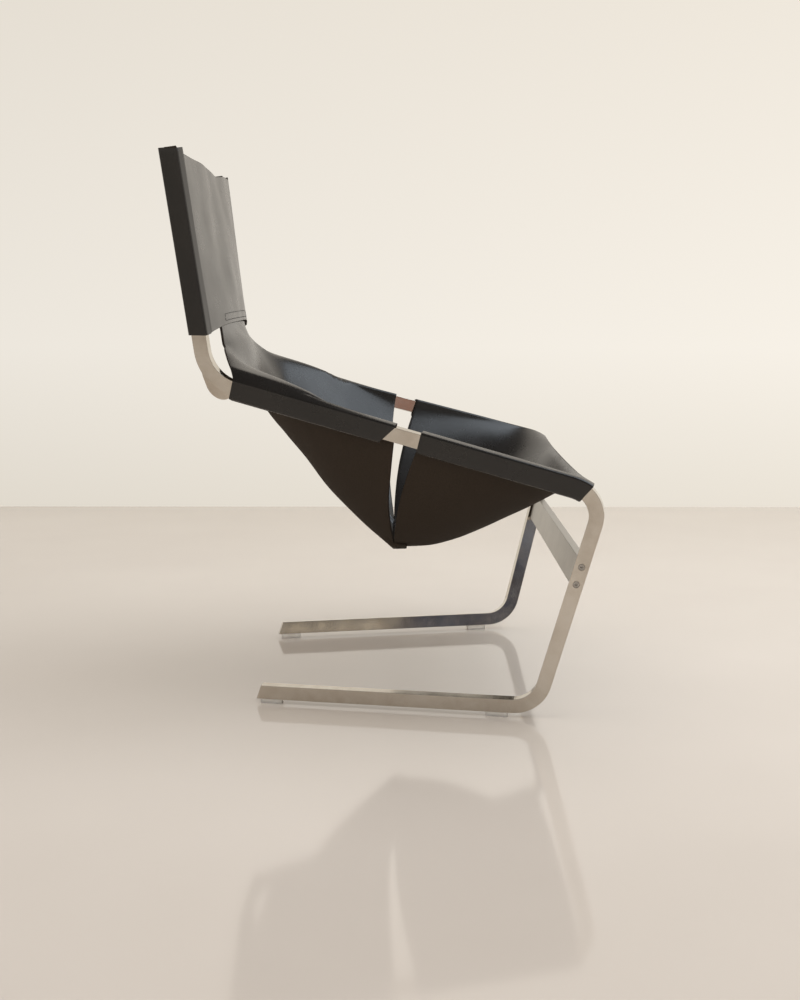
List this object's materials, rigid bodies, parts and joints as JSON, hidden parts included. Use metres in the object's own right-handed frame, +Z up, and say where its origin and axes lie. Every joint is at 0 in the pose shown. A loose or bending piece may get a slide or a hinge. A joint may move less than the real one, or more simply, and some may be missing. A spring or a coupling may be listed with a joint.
{
  "type": "cantilever lounge chair",
  "caption": "Cantilever lounge chair: bent flat steel side frames joined by a crossbar, with a leather back and a two-part leather sling seat sleeved over the bars.",
  "frame": {"origin": "on the floor, at the middle of the chair's width and depth", "axes": "+Z up, the chair's front faces -Y, the sitter's right side is -X"},
  "size_m": [0.8132, 0.7322, 0.9614],
  "materials": {
    "polished_steel": "polished flat bar",
    "satin_steel": "satin flat bar",
    "screw_steel": "machined",
    "glide_plastic": "frosted",
    "back_leather": "thick saddle leather, waxed",
    "seat_leather": "thick saddle leather, waxed"
  },
  "bodies": {
    "root": {"side_frame_right": "polished_steel", "side_frame_left": "polished_steel", "front_crossbar": "satin_steel", "screw_upper_right": "screw_steel", "screw_lower_right": "screw_steel", "screw_upper_left": "screw_steel", "screw_lower_left": "screw_steel", "glide_front_right": "glide_plastic", "glide_front_left": "glide_plastic", "glide_rear_right": "glide_plastic", "glide_rear_left": "glide_plastic", "back_panel": "back_leather", "rear_seat_leather": "seat_leather", "front_seat_leather": "seat_leather"}
  },
  "joints": []
}
